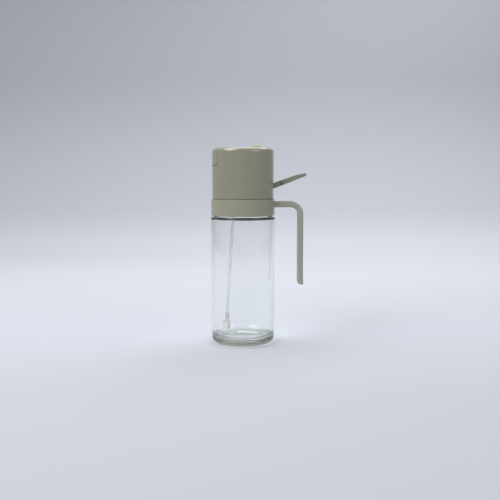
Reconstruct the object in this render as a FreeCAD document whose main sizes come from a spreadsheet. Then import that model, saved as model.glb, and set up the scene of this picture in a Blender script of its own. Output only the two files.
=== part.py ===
import FreeCAD, Part
# Oil dispenser: a tapered glass bottle with a screw collar and side handle, and a round head that
# pours from a lidded spout and sprays when its rear lever is pressed. Millimetres, +Z up. The
# origin is the centre of the bottle's foot, the spout faces -X, the handle and lever face +X.

import os

import Sketcher

# ---------------------------------------------------------------- driving dimensions
SIZES = {
    "bottle": {
        "shoulder_step": 0.3,      # glass beyond the collar, all round
        "wall_taper": 0.9,         # foot's radius under the shoulder's
        "shoulder_height": 141.8,
        "neck_height": 14.8,
        "glass_wall": 2.5,
        "neck_wall": 3.0,
        "shoulder_thick": 1.7,
        "base_thick": 7.0,
        "base_corner": 7.0,        # round between the inner floor and the wall
        "heel_round": 6.5,
        "shoulder_round": 1.6,
        "shoulder_inner_round": 1.6,
        "lip_round": 0.9,
        "stand_ring": 8.6,         # from the foot's edge to the shallow hollow under the base
        "punt_depth": 1.2,
    },
    "collar and handle": {
        "collar_step": 1.15,       # collar beyond the head, all round
        "collar_wall": 3.2,
        "collar_gap": 1.0,         # open line between the glass shoulder and the collar
        "collar_round": 1.2,       # lower edge
        "collar_chamfer": 0.2,     # upper edge, below the seam
        "thread_gap": 0.3,         # collar over the neck, all round
        "web_thick": 2.2,          # collar's inner flange, which presses the closure down
        "spigot_height": 4.0,      # ring that the head fits over
        "spigot_wall": 2.2,
        "boss_reach": 4.6,         # handle boss, from the collar's surface
        "arm_thick": 6.7,
        "arm_drop": 2.1,           # from the collar's top to the arm's top
        "handle_width": 17.0,
        "handle_clear": 31.6,      # collar's surface to the bar's outer face
        "bar_thick": 6.6,
        "handle_foot": 65.9,       # height of the bar's lower end
        "bend_inner": 7.6,
        "bend_outer": 14.4,
        "foot_flare": 0.5,
        "foot_flare_height": 9.0,
        "foot_corner": 4.2,
        "handle_round": 2.2,
        "tenon_width": 10.0,
        "tenon_thick": 3.2,
        "tenon_length": 4.5,
        "joint_gap": 0.1,          # clearance round tenons and spigots
    },
    "closure and dip tube": {
        "flange_thick": 2.2,
        "plug_depth": 7.0,
        "plug_wall": 1.8,
        "plug_gap": 0.15,
        "nipple_width": 6.4,
        "tube_width": 3.3,
        "tube_bore": 2.0,
        "tube_gap": 0.05,
        "tube_top_x": -9.4,        # where the tube meets the closure
        "tube_top_lean": 4.6,      # degrees off the vertical, easing towards the foot
        "tube_foot_lean": 3.0,
        "tube_grip": 9.5,          # straight length held in the nipple
        "tube_foot_height": 26.4,
        "sleeve_width": 5.4,
        "sleeve_length": 11.8,
        "sleeve_hold": 7.0,        # length of tube that the sleeve grips
        "cup_width": 9.5,
        "cup_length": 9.2,
        "cup_round": 2.6,
        "cup_brow_round": 0.8,
        "cup_socket": 2.0,
        "slot_width": 1.0,
        "slot_rise": 4.4,
        "slot_depth": 1.6,
        "slot_count": 6,
    },
    "head": {
        "head_width": 68.9,        # drives the collar, the neck and the bottle's width
        "head_height": 56.3,       # above the collar
        "head_wall": 2.4,
        "top_thick": 2.6,
        "edge_round": 4.5,
        "rim_chamfer": 0.8,        # lower edge, above the seam
        "tray_wall": 1.6,
        "tray_floor": 2.0,
        "nozzle_width": 8.0,
        "nozzle_drop": 28.0,       # from the head's top to the nozzle's axis
        "nozzle_recess": 0.35,     # face behind the head's surface
        "nozzle_flange": 1.2,
        "nozzle_lip": 1.2,
        "nozzle_stem": 4.0,
        "nozzle_dish": 1.0,
        "orifice_width": 0.8,
        "button_inset": 9.1,       # from the lid's hollow to the button's axis
        "button_width": 9.8,
        "button_rise": 2.8,
        "button_flange": 1.2,
        "button_lip": 1.5,
        "button_round": 1.3,
        "button_gap": 0.3,
    },
    "spout and lid": {
        "lid_width": 40.4,
        "lid_height": 18.8,        # from the head's top to the lid's lower edge
        "lid_back_x": 3.0,
        "lid_gap": 0.4,            # round the lid
        "lid_slit": 0.7,           # below the lid
        "lid_wall": 2.2,
        "lid_corner": 4.0,
        "lid_inner_round": 2.3,
        "lid_edge_round": 0.4,     # outer edges of the lid and of the well that it closes
        "stop_width": 32.0,        # ledge behind the lid's lower edge, across the front
        "stop_rise": 2.2,          # above the tray's floor
        "stop_gap": 0.4,           # to the lid's inner face
        "barrel_radius": 3.8,      # rounded rear end of the lid, about its pin
        "lid_pin_width": 2.4,
        "pin_run": 0.08,           # running clearance on each pin's radius
        "spout_inset": 14.95,      # from the head's surface to the spout's axis
        "spout_width": 12.0,
        "spout_bore": 8.5,
        "spout_rise": 11.0,        # lip above the tray's floor
        "spout_slope": 24.0,       # degrees, mouth falling towards the rear
        "spout_foot_lip": 1.5,
        "spout_foot_thick": 1.5,
        "spout_gap": 0.15,
    },
    "lever": {
        "pivot_inset": 16.45,      # from the head's surface to the lever's pivot
        "pivot_height": 8.8,       # above the collar
        "lever_lean": 21.7,        # degrees up from level, at rest
        "lever_swing": 18.0,       # degrees down when pressed
        "lever_reach": 55.5,       # pivot to tip
        "lever_pad": 11.2,         # thumb pad's length at the tip
        "lever_width": 19.0,
        "neck_width": 11.0,        # narrow part that runs through the head's wall
        "neck_length": 24.5,       # from the pivot to where the lever starts to widen
        "neck_spread": 4.0,        # length over which it widens
        "neck_round": 3.0,
        "lever_thick": 6.4,        # at the pivot
        "lever_pad_thick": 5.1,
        "lever_tip_thick": 2.9,
        "lever_corner": 4.5,       # tip corners, seen from above
        "lever_round": 0.8,
        "lever_barrel": 4.2,
        "lever_gap": 0.4,          # above and below the lever in its slot
        "lever_side_gap": 0.3,
        "lever_pin_width": 3.0,
        "ear_wall": 2.5,
        "ear_height": 17.0,
        "ear_clear": 0.4,          # between the ears and the collar's spigot
        "ear_nose": 5.0,           # from the pivot to the ears' front edge
    },
}

# ---------------------------------------------------------------- derived places, as expressions
HEAD_R = "(dims.head_width / 2)"
COLLAR_R = f"({HEAD_R} + dims.collar_step)"
THREAD_R = f"({COLLAR_R} - dims.collar_wall)"
NECK_R = f"({THREAD_R} - dims.thread_gap)"
MOUTH_R = f"({NECK_R} - dims.neck_wall)"
SHOULDER_R = f"({COLLAR_R} + dims.shoulder_step)"
FOOT_R = f"({SHOULDER_R} - dims.wall_taper)"
MOUTH = "(dims.shoulder_height + dims.neck_height)"
COLLAR_LOW = "(dims.shoulder_height + dims.collar_gap)"
CLOSURE_TOP = f"({MOUTH} + dims.flange_thick)"
SEAM = f"({CLOSURE_TOP} + dims.web_thick)"
HEAD_BORE_R = f"({HEAD_R} - dims.head_wall)"
SPIGOT_R = f"({HEAD_BORE_R} - dims.joint_gap)"
HEAD_TOP = f"({SEAM} + dims.head_height)"
HEAD_CEILING = f"({HEAD_TOP} - dims.top_thick)"
ARM_TOP = f"({SEAM} - dims.arm_drop)"
ARM_LOW = f"({ARM_TOP} - dims.arm_thick)"
ARM_MID = f"({ARM_TOP} - dims.arm_thick / 2)"
BOSS_END = f"({COLLAR_R} + dims.boss_reach)"
BAR_OUT = f"({COLLAR_R} + dims.handle_clear)"
LID_LOW = f"({HEAD_TOP} - dims.lid_height)"
TRAY_TOP = f"({LID_LOW} - dims.lid_slit)"
TRAY_HALF = "(dims.lid_width / 2 + dims.lid_gap)"
TRAY_OUTER = f"({TRAY_HALF} + dims.tray_wall)"
TRAY_BACK = "(dims.lid_back_x + dims.lid_gap)"
LID_AXIS_X = "(dims.lid_back_x - dims.barrel_radius)"
LID_AXIS_Z = f"({HEAD_TOP} - dims.barrel_radius)"
NOZZLE_Z = f"({HEAD_TOP} - dims.nozzle_drop)"
BUTTON_X = f"({TRAY_BACK} + dims.tray_wall + dims.button_inset)"
SPOUT_X = f"(dims.spout_inset - {HEAD_R})"
PIVOT_X = f"({HEAD_R} - dims.pivot_inset)"
PIVOT_Z = f"({SEAM} + dims.pivot_height)"
EAR_IN = "(dims.neck_width / 2 + dims.lever_side_gap)"
EAR_OUT = f"({EAR_IN} + dims.ear_wall)"
LEAN = "(dims.lever_lean * 1 deg)"
PRESSED = "((dims.lever_lean - dims.lever_swing) * 1 deg)"
SLOT_TOP = (f"({PIVOT_Z} + ({HEAD_R} - {PIVOT_X}) * tan({LEAN})"
            f" + dims.lever_thick / 2 / cos({LEAN}) + dims.lever_gap)")
SLOT_LOW = (f"({PIVOT_Z} + ({HEAD_BORE_R} - dims.lever_gap - {PIVOT_X}) * tan({PRESSED})"
            f" - dims.lever_thick / 2 / cos({PRESSED}) - dims.lever_gap)")
TUBE_TOP = f"({MOUTH} - dims.tube_gap)"
TOP_LEAN = "(dims.tube_top_lean * 1 deg)"
FOOT_LEAN = "(dims.tube_foot_lean * 1 deg)"
BEND_TOP = f"({TUBE_TOP} - dims.tube_grip * cos({TOP_LEAN}))"
BEND_LOW = f"(dims.tube_foot_height + dims.sleeve_hold * cos({FOOT_LEAN}))"
BEND_TOP_X = f"(dims.tube_top_x - dims.tube_grip * sin({TOP_LEAN}))"
BEND_R = f"(({BEND_TOP} - {BEND_LOW}) / (sin({TOP_LEAN}) - sin({FOOT_LEAN})))"
BEND_LOW_X = f"({BEND_TOP_X} - {BEND_R} * (cos({FOOT_LEAN}) - cos({TOP_LEAN})))"
TUBE_FOOT_X = f"({BEND_LOW_X} - dims.sleeve_hold * sin({FOOT_LEAN}))"
SLEEVE_BELOW = "(dims.sleeve_length - dims.sleeve_hold)"
SLEEVE_X = f"({TUBE_FOOT_X} - {SLEEVE_BELOW} * sin({FOOT_LEAN}))"
SLEEVE_Z = f"(dims.tube_foot_height - {SLEEVE_BELOW} * cos({FOOT_LEAN}))"
CUP_BELOW = "(dims.cup_length - dims.cup_socket)"
CUP_X = f"({SLEEVE_X} - {CUP_BELOW} * sin({FOOT_LEAN}))"
CUP_Z = f"({SLEEVE_Z} - {CUP_BELOW} * cos({FOOT_LEAN}))"

CUT_OVER = "2"       # how far a cut runs past the face it opens
ROUND_SHARE = "0.46" # most of a ledge that the round at one of its ends takes
FAR = "60"           # further from the axis than any part of the head
NEAR = 0.01          # two places this close are the same

doc = FreeCAD.newDocument("oil_dispenser")


# ---------------------------------------------------------------- helpers
def make_sheet():
    """Writes every driving dimension as a plain number with its name as the cell's alias."""
    sheet = doc.addObject("Spreadsheet::Sheet", "dims")
    row = 1
    for group, sizes in SIZES.items():
        sheet.set(f"A{row}", group)
        row += 1
        for name, value in sizes.items():
            sheet.set(f"A{row}", name)
            sheet.set(f"B{row}", str(value))
            sheet.setAlias(f"B{row}", name)
            row += 1
    doc.recompute()
    return sheet


dims = make_sheet()


def number(expression):
    """The present value of an expression on the sheet."""
    value = dims.evalExpression(expression)
    return float(getattr(value, "Value", value))


def point(x, y):
    return FreeCAD.Vector(number(x), number(y), 0)


def near(value, expression):
    return abs(value - number(expression)) < NEAR


def bind(thing, **expressions):
    """Binds properties of an object to expressions on the sheet."""
    for name, expression in expressions.items():
        thing.setExpression(name, expression)


def new_body(label):
    body = doc.addObject("PartDesign::Body", label)
    body.Label = label
    return body


def place(body, x="0", y="0", z="0", axis=None, angle="0"):
    """Binds a body's place, and its turn about one axis, to the sheet."""
    for name, expression in (("x", x), ("y", y), ("z", z)):
        body.setExpression(f".Placement.Base.{name}", expression)
    if axis:
        body.Placement = FreeCAD.Placement(body.Placement.Base, FreeCAD.Rotation(axis, 1))
        body.setExpression(".Placement.Rotation.Angle", angle)


def origin_plane(body, role):
    return next(f for f in body.Origin.OriginFeatures if f.Role == role)


def on_plane(body, kind, name, role):
    """A new object of the body, attached to one of its origin planes."""
    made = body.newObject(kind, name)
    made.AttachmentSupport = [(origin_plane(body, role), "")]
    made.MapMode = "FlatFace"
    return made


def new_sketch(body, name, role, offset="0"):
    """A sketch on one of the body's origin planes, moved along the plane's normal by offset."""
    sketch = on_plane(body, "Sketcher::SketchObject", name, role)
    sketch.setExpression("AttachmentOffset.Base.z", offset)
    return sketch


def fix(sketch, kind, *places, value):
    """Adds one dimensional constraint and binds it to an expression."""
    index = sketch.addConstraint(Sketcher.Constraint(kind, *places, number(value)))
    sketch.setExpression(f"Constraints[{index}]", value)


def outline(body, name, role, corners, offset="0"):
    """A closed outline. Each corner is two expressions, and a third is the radius of an arc,
    bulging away from the sketch's origin, that runs clockwise from it to the next corner."""
    sketch = new_sketch(body, name, role, offset)
    points = [point(corner[0], corner[1]) for corner in corners]
    starts, ends = [], []
    for i, corner in enumerate(corners):
        here, there = points[i], points[(i + 1) % len(points)]
        if len(corner) == 3:
            middle = (here + there).normalize() * number(corner[2])
            sketch.addGeometry(Part.Arc(there, middle, here), False)
            fix(sketch, "Radius", i, value=corner[2])
        else:
            sketch.addGeometry(Part.LineSegment(here, there), False)
        starts.append(2 if len(corner) == 3 else 1)
        ends.append(1 if len(corner) == 3 else 2)
    for i, corner in enumerate(corners):
        follows = (i + 1) % len(corners)
        sketch.addConstraint(Sketcher.Constraint("Coincident", i, ends[i], follows, starts[follows]))
        fix(sketch, "DistanceX", -1, 1, i, starts[i], value=corner[0])
        fix(sketch, "DistanceY", -1, 1, i, starts[i], value=corner[1])
    return sketch


def rectangle(low_x, high_x, low_y, high_y):
    return [(low_x, low_y), (high_x, low_y), (high_x, high_y), (low_x, high_y)]


def circles(body, name, role, x, y, radii, offset="0"):
    """Circles about one centre. A second one inside the first makes a ring."""
    sketch = new_sketch(body, name, role, offset)
    centre = point(x, y)
    for i, radius in enumerate(radii):
        sketch.addGeometry(Part.Circle(centre, FreeCAD.Vector(0, 0, 1), number(radius)), False)
        fix(sketch, "Radius", i, value=radius)
        fix(sketch, "DistanceX", -1, 1, i, 3, value=x)
        fix(sketch, "DistanceY", -1, 1, i, 3, value=y)
    return sketch


def feature(body, kind, name, profile):
    made = body.newObject(f"PartDesign::{kind}", name)
    made.Profile = profile
    return made


def finish(body, cuts):
    """Recomputes, and checks that a cut took material away and an addition brought some."""
    before = body.Tip.BaseFeature.Shape.Volume if body.Tip.BaseFeature else 0.0
    doc.recompute()
    change = body.Tip.Shape.Volume - before
    if (change < 0) != cuts or abs(change) < NEAR:
        raise RuntimeError(f"{body.Label}.{body.Tip.Name} changed the volume by {change:.3f}")


def revolve(body, name, profile, cuts=False):
    made = feature(body, "Groove" if cuts else "Revolution", name, profile)
    made.ReferenceAxis = (profile, ["V_Axis"])
    made.Angle = 360
    finish(body, cuts)


def extrude(body, name, profile, length, cuts=False, symmetric=False, reverse=False):
    """A Pad along the sketch's normal, or a Pocket against it, unless reversed."""
    made = feature(body, "Pocket" if cuts else "Pad", name, profile)
    bind(made, Length=length)
    made.SideType = "Symmetric" if symmetric else "One side"
    made.Reversed = reverse
    finish(body, cuts)
    return made


def dress(body, kind, name, size, wanted):
    """A Fillet or Chamfer on the edges of the body so far that wanted() picks."""
    base = body.Tip
    names = [f"Edge{i}" for i, edge in enumerate(base.Shape.Edges, 1) if wanted(edge)]
    if not names:
        raise RuntimeError(f"{body.Label}.{name} found no edge")
    made = body.newObject(f"PartDesign::{kind}", name)
    made.Base = (base, names)
    bind(made, **{"Radius" if kind == "Fillet" else "Size": size})
    doc.recompute()


def is_ring(edge, radius, height):
    """Is the edge a level circle or arc of this radius about a vertical axis, at this height?"""
    return (isinstance(edge.Curve, Part.Circle) and near(edge.Curve.Radius, radius)
            and edge.BoundBox.ZLength < NEAR and near(edge.BoundBox.ZMin, height))


def runs_along(edge, axis):
    """Is the edge straight and parallel to one axis, given as X, Y or Z?"""
    box = edge.BoundBox
    spans = {"X": box.XLength, "Y": box.YLength, "Z": box.ZLength}
    others = [span for name, span in spans.items() if name != axis]
    return isinstance(edge.Curve, Part.Line) and max(others) < NEAR < spans[axis]


def passes(edge, x=None, y=None, z=None):
    """Does the middle of the edge's box lie at these places?"""
    middle = edge.BoundBox.Center
    return all(near(value, wanted) for value, wanted in
               ((middle.x, x), (middle.y, y), (middle.z, z)) if wanted is not None)


# ---------------------------------------------------------------- bottle
def make_bottle():
    body = new_body("bottle")
    ceiling = "(dims.shoulder_height - dims.shoulder_thick)"
    glass = outline(body, "glass_profile", "XZ_Plane", [
        ("0", "0"), (FOOT_R, "0"), (SHOULDER_R, "dims.shoulder_height"),
        (NECK_R, "dims.shoulder_height"), (NECK_R, MOUTH), ("0", MOUTH)])
    revolve(body, "glass", glass)
    inner_foot_r = f"{FOOT_R} - dims.glass_wall"
    inner_shoulder_r = f"{SHOULDER_R} - dims.glass_wall"
    cavity = outline(body, "cavity_profile", "XZ_Plane", [
        ("0", "dims.base_thick"), (inner_foot_r, "dims.base_thick"), (inner_shoulder_r, ceiling),
        (MOUTH_R, ceiling), (MOUTH_R, f"{MOUTH} + {CUT_OVER}"), ("0", f"{MOUTH} + {CUT_OVER}")])
    revolve(body, "cavity", cavity, cuts=True)
    dress(body, "Fillet", "heel", "dims.heel_round", lambda e: is_ring(e, FOOT_R, "0"))
    dress(body, "Fillet", "shoulder", "dims.shoulder_round",
          lambda e: is_ring(e, SHOULDER_R, "dims.shoulder_height"))
    dress(body, "Fillet", "floor_corner", "dims.base_corner",
          lambda e: is_ring(e, inner_foot_r, "dims.base_thick"))
    ledge_round = f"{ROUND_SHARE} * ({inner_shoulder_r} - {MOUTH_R})"
    dress(body, "Fillet", "ceiling_corner", f"min(dims.shoulder_inner_round; {ledge_round})",
          lambda e: is_ring(e, inner_shoulder_r, ceiling) or is_ring(e, MOUTH_R, ceiling))
    dress(body, "Fillet", "lip", "dims.lip_round",
          lambda e: is_ring(e, NECK_R, MOUTH) or is_ring(e, MOUTH_R, MOUTH)
          or is_ring(e, NECK_R, "dims.shoulder_height"))
    punt = on_plane(body, "PartDesign::SubtractiveSphere", "punt", "XY_Plane")
    punt_r = f"(({FOOT_R} - dims.stand_ring) ^ 2 + dims.punt_depth ^ 2) / (2 * dims.punt_depth)"
    bind(punt, Radius=punt_r)
    punt.setExpression("AttachmentOffset.Base.z", f"dims.punt_depth - {punt_r}")
    finish(body, cuts=True)
    return body


# ---------------------------------------------------------------- collar and handle
def make_collar():
    body = new_body("collar")
    web_r = f"{SPIGOT_R} - dims.spigot_wall"
    spigot_top = f"{SEAM} + dims.spigot_height"
    ring = outline(body, "ring_profile", "XZ_Plane", [
        (THREAD_R, COLLAR_LOW), (COLLAR_R, COLLAR_LOW), (COLLAR_R, SEAM), (SPIGOT_R, SEAM),
        (SPIGOT_R, spigot_top), (web_r, spigot_top), (web_r, CLOSURE_TOP), (THREAD_R, CLOSURE_TOP)])
    revolve(body, "ring", ring)
    dress(body, "Fillet", "lower_edge", "dims.collar_round",
          lambda e: is_ring(e, COLLAR_R, COLLAR_LOW))
    dress(body, "Chamfer", "seam_edge", "dims.collar_chamfer",
          lambda e: is_ring(e, COLLAR_R, SEAM))
    half_width = "dims.handle_width / 2"
    boss_start = f"({THREAD_R} + {COLLAR_R}) / 2"
    boss = outline(body, "boss_profile", "YZ_Plane",
                   rectangle(f"-{half_width}", half_width, ARM_LOW, ARM_TOP), boss_start)
    extrude(body, "boss", boss, f"{BOSS_END} - {boss_start}")
    dress(body, "Fillet", "boss_edges", "dims.handle_round",
          lambda e: runs_along(e, "X") and e.BoundBox.XMax > number(COLLAR_R))
    half_socket = "(dims.tenon_width / 2 + dims.joint_gap)"
    socket_rise = "(dims.tenon_thick / 2 + dims.joint_gap)"
    socket = outline(body, "socket_profile", "YZ_Plane", rectangle(
        f"-{half_socket}", half_socket, f"{ARM_MID} - {socket_rise}",
        f"{ARM_MID} + {socket_rise}"), BOSS_END)
    extrude(body, "socket", socket, "dims.tenon_length + dims.joint_gap", cuts=True)
    return body


def make_handle():
    body = new_body("handle")
    bar_in = f"({BAR_OUT} - dims.bar_thick)"
    foot_out = f"({BAR_OUT} + dims.foot_flare)"
    bar = outline(body, "bar_profile", "XZ_Plane", [
        (BOSS_END, ARM_LOW), (bar_in, ARM_LOW), (bar_in, "dims.handle_foot"),
        (foot_out, "dims.handle_foot"),
        (BAR_OUT, "dims.handle_foot + dims.foot_flare_height"), (BAR_OUT, ARM_TOP),
        (BOSS_END, ARM_TOP)])
    extrude(body, "bar", bar, "dims.handle_width", symmetric=True)
    dress(body, "Fillet", "inner_bend", "dims.bend_inner",
          lambda e: runs_along(e, "Y") and passes(e, x=bar_in, z=ARM_LOW))
    dress(body, "Fillet", "outer_bend", "dims.bend_outer",
          lambda e: runs_along(e, "Y") and passes(e, x=BAR_OUT, z=ARM_TOP))
    dress(body, "Fillet", "foot_corner", "dims.foot_corner",
          lambda e: runs_along(e, "Y") and passes(e, x=bar_in, z="dims.handle_foot"))
    half_width = number("dims.handle_width / 2")
    dress(body, "Fillet", "bar_edges", "dims.handle_round",
          lambda e: e.BoundBox.YLength < NEAR and abs(abs(e.BoundBox.Center.y) - half_width) < NEAR
          and e.BoundBox.XMax > number(BOSS_END) + NEAR)
    half_tenon = "dims.tenon_width / 2"
    tenon = outline(body, "tenon_profile", "YZ_Plane", rectangle(
        f"-{half_tenon}", half_tenon, f"{ARM_MID} - dims.tenon_thick / 2",
        f"{ARM_MID} + dims.tenon_thick / 2"), BOSS_END)
    extrude(body, "tenon", tenon, "dims.tenon_length", reverse=True)
    return body


# ---------------------------------------------------------------- closure, dip tube and filter
def make_closure():
    body = new_body("closure")
    plug_r = f"({MOUTH_R} - dims.plug_gap)"
    skirt_r = f"({plug_r} - dims.plug_wall)"
    plug_low = f"{MOUTH} - dims.plug_depth"
    plate = outline(body, "plate_profile", "XZ_Plane", [
        ("0", MOUTH), (skirt_r, MOUTH), (skirt_r, plug_low), (plug_r, plug_low),
        (plug_r, MOUTH), (NECK_R, MOUTH), (NECK_R, CLOSURE_TOP), ("0", CLOSURE_TOP)])
    revolve(body, "plate", plate)
    for kind, name, radius, drop, length in (
            ("Additive", "nipple", "dims.nipple_width / 2", "dims.tube_grip",
             "dims.tube_grip + dims.flange_thick / 2"),
            ("Subtractive", "nipple_bore", "dims.tube_width / 2 + dims.tube_gap",
             f"(dims.tube_grip + {CUT_OVER})", f"dims.tube_grip + {CUT_OVER}")):
        made = on_plane(body, f"PartDesign::{kind}Cylinder", name, "XY_Plane")
        bind(made, Radius=radius, Height=length)
        made.AttachmentOffset = FreeCAD.Placement(
            FreeCAD.Vector(), FreeCAD.Rotation(FreeCAD.Vector(0, 1, 0), 1))
        made.setExpression(".AttachmentOffset.Rotation.Angle", "dims.tube_top_lean")
        made.setExpression(".AttachmentOffset.Base.x", f"dims.tube_top_x - {drop} * sin({TOP_LEAN})")
        made.setExpression(".AttachmentOffset.Base.z", f"{TUBE_TOP} - {drop} * cos({TOP_LEAN})")
        finish(body, kind == "Subtractive")
    port = circles(body, "pour_port_profile", "XY_Plane", SPOUT_X, "0",
                   ["dims.spout_bore / 2"], f"{CLOSURE_TOP} + {CUT_OVER}")
    extrude(body, "pour_port", port, f"dims.flange_thick + 2 * {CUT_OVER}", cuts=True)
    return body


def make_dip_tube():
    """A tube leaning out of its nipple, bending gently until it hangs nearly upright."""
    body = new_body("dip_tube")
    path = new_sketch(body, "tube_path", "XZ_Plane")
    bend_top, bend_low = point(BEND_TOP_X, BEND_TOP), point(BEND_LOW_X, BEND_LOW)
    centre = point(f"{BEND_TOP_X} + {BEND_R} * cos({TOP_LEAN})",
                   f"{BEND_TOP} - {BEND_R} * sin({TOP_LEAN})")
    bend_middle = centre + (bend_top + bend_low - centre * 2).normalize() * number(BEND_R)
    for line in (Part.LineSegment(point("dims.tube_top_x", TUBE_TOP), bend_top),
                 Part.Arc(bend_top, bend_middle, bend_low),
                 Part.LineSegment(bend_low, point(TUBE_FOOT_X, "dims.tube_foot_height"))):
        path.addGeometry(line, False)
    path.addConstraint(Sketcher.Constraint("Tangent", 0, 2, 1, 1))
    path.addConstraint(Sketcher.Constraint("Tangent", 1, 2, 2, 1))
    fix(path, "DistanceX", -1, 1, 0, 1, value="dims.tube_top_x")
    fix(path, "DistanceY", -1, 1, 0, 1, value=TUBE_TOP)
    fix(path, "DistanceX", -1, 1, 0, 2, value=BEND_TOP_X)
    fix(path, "DistanceY", -1, 1, 0, 2, value=BEND_TOP)
    fix(path, "Radius", 1, value=BEND_R)
    fix(path, "DistanceY", -1, 1, 1, 2, value=BEND_LOW)
    fix(path, "DistanceY", -1, 1, 2, 2, value="dims.tube_foot_height")
    doc.recompute()
    section = body.newObject("Sketcher::SketchObject", "tube_section")
    section.AttachmentSupport = [(path, "Vertex1"), (path, "Edge1")]
    section.MapMode = "NormalToEdge"
    for i, radius in enumerate(("dims.tube_width / 2", "dims.tube_bore / 2")):
        section.addGeometry(Part.Circle(FreeCAD.Vector(), FreeCAD.Vector(0, 0, 1), number(radius)))
        section.addConstraint(Sketcher.Constraint("Coincident", i, 3, -1, 1))
        fix(section, "Radius", i, value=radius)
    tube = feature(body, "AdditivePipe", "tube", section)
    tube.Spine = path
    finish(body, cuts=False)
    return body


def make_filter_sleeve():
    body = new_body("filter_sleeve")
    sleeve = circles(body, "sleeve_profile", "XY_Plane", "0", "0", ["dims.sleeve_width / 2"])
    extrude(body, "sleeve", sleeve, "dims.sleeve_length")
    bore = circles(body, "bore_profile", "XY_Plane", "0", "0",
                   ["dims.tube_width / 2 + dims.tube_gap"], "dims.sleeve_length")
    extrude(body, "bore", bore, "dims.sleeve_hold", cuts=True)
    duct = circles(body, "duct_profile", "XY_Plane", "0", "0", ["dims.tube_bore / 2"],
                   "dims.sleeve_length")
    extrude(body, "duct", duct, f"dims.sleeve_length + {CUT_OVER}", cuts=True)
    place(body, x=SLEEVE_X, z=SLEEVE_Z, axis=FreeCAD.Vector(0, 1, 0), angle="dims.tube_foot_lean")
    return body


def make_filter_cup():
    """A weighted strainer cup, with slots round its foot."""
    body = new_body("filter_cup")
    cup_r = "dims.cup_width / 2"
    cup = circles(body, "cup_profile", "XY_Plane", "0", "0", [cup_r])
    extrude(body, "cup", cup, "dims.cup_length")
    dress(body, "Fillet", "cup_foot", "dims.cup_round", lambda e: is_ring(e, cup_r, "0"))
    dress(body, "Fillet", "cup_brow", "dims.cup_brow_round",
          lambda e: is_ring(e, cup_r, "dims.cup_length"))
    socket = circles(body, "socket_profile", "XY_Plane", "0", "0",
                     ["dims.sleeve_width / 2 + dims.tube_gap"], "dims.cup_length")
    extrude(body, "socket", socket, "dims.cup_socket", cuts=True)
    half_slot = "dims.slot_width / 2"
    slot = outline(body, "slot_profile", "YZ_Plane", rectangle(
        f"-{half_slot}", half_slot, f"-{CUT_OVER}", "dims.slot_rise"),
        f"{cup_r} - dims.slot_depth")
    slot_cut = extrude(body, "slot", slot, f"dims.slot_depth + {CUT_OVER}", cuts=True, reverse=True)
    ring = body.newObject("PartDesign::PolarPattern", "slots")
    ring.Originals = [slot_cut]
    ring.Axis = (slot, ["V_Axis"])
    ring.Angle = 360
    bind(ring, Occurrences="dims.slot_count")
    body.Tip = ring
    doc.recompute()
    place(body, x=CUP_X, z=CUP_Z, axis=FreeCAD.Vector(0, 1, 0), angle="dims.tube_foot_lean")
    return body


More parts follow.
